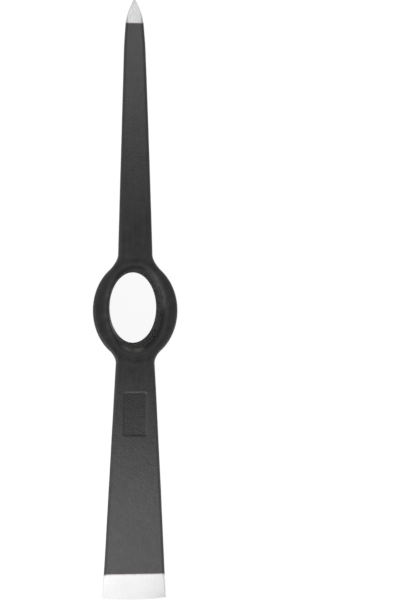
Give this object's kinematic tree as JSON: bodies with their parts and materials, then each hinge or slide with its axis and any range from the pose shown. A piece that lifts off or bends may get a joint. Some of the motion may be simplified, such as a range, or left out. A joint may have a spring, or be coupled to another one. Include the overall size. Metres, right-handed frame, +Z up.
{
  "type": "pick axe head",
  "caption": "Pick axe head: a tapered oval eye collar for a wooden handle, a square pick arm bowed to a ground point, and a broad adze arm bowed to a ground cutting edge.",
  "frame": {"origin": "on the eye's axis, in the plane of the collar's foot, which the head stands on", "axes": "+Z up along the eye from the foot to the flush top face, +Y out to the pick point, -Y out to the adze's cutting edge, X across the head"},
  "size_m": [0.0742, 0.549, 0.0635],
  "materials": {
    "forged_black": "satin black coat over a slightly uneven steel forging",
    "ground_steel": "bare steel, ground bright along the tool"
  },
  "bodies": {
    "root": {"eye_collar": "forged_black", "pick_arm": "forged_black", "adze_arm": "forged_black", "pick_point": "ground_steel", "adze_bit": "ground_steel"}
  },
  "joints": []
}
